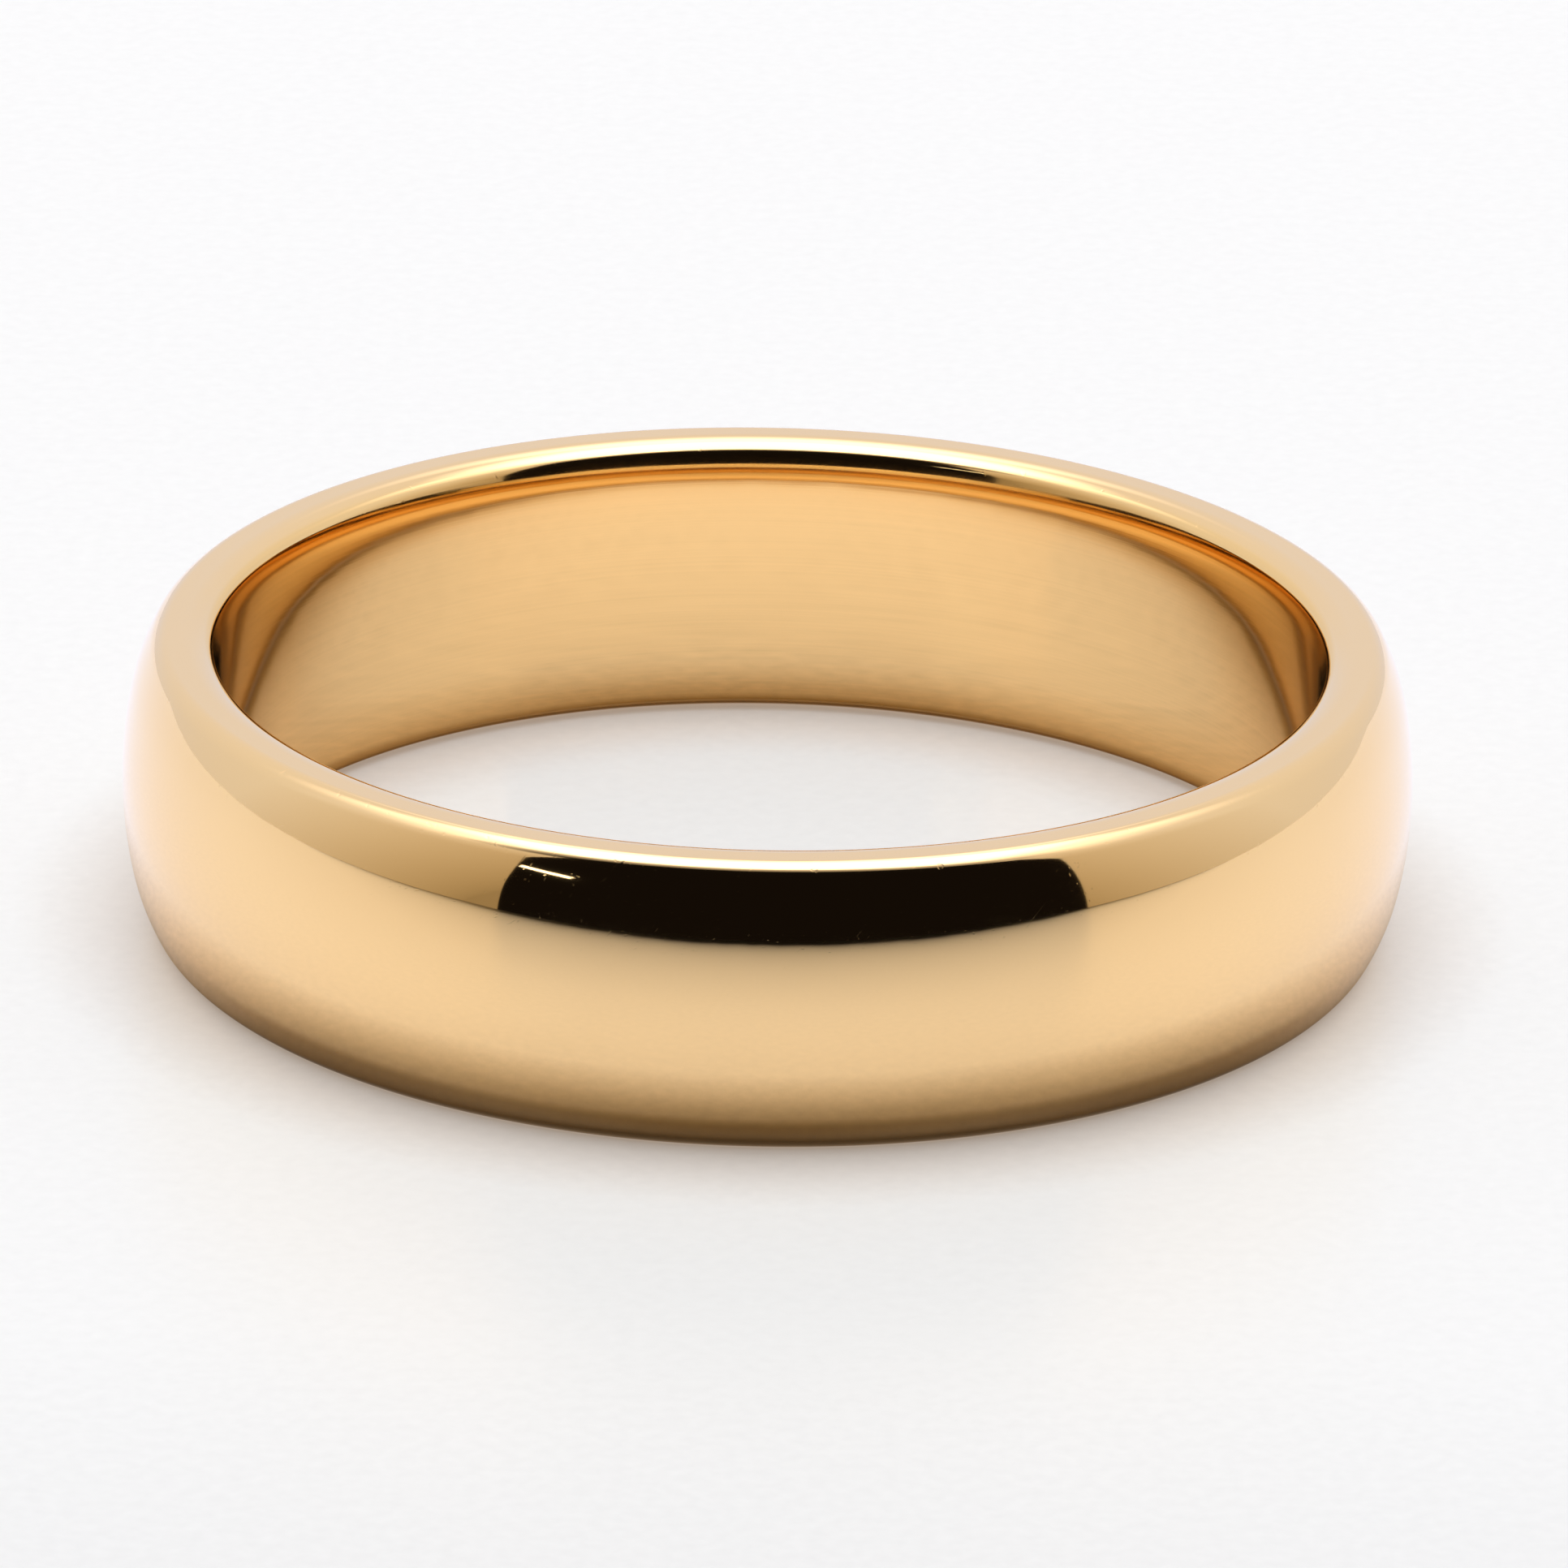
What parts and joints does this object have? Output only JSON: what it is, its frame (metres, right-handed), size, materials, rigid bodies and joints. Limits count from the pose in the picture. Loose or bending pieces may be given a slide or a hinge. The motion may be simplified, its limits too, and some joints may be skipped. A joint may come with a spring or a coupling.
{
  "type": "wedding band",
  "caption": "Plain wedding band: a solid polished gold ring with a domed outside, narrow flat side faces and a comfort-fit bore.",
  "frame": {"origin": "centre of the lower side face, where the band rests when it lies flat", "axes": "+Z along the finger axis, up through the bore; X and Y lie in the lower side face"},
  "size_m": [0.0217, 0.0216, 0.005],
  "materials": {
    "gold": "polished"
  },
  "bodies": {
    "root": {"band": "gold"}
  },
  "joints": []
}
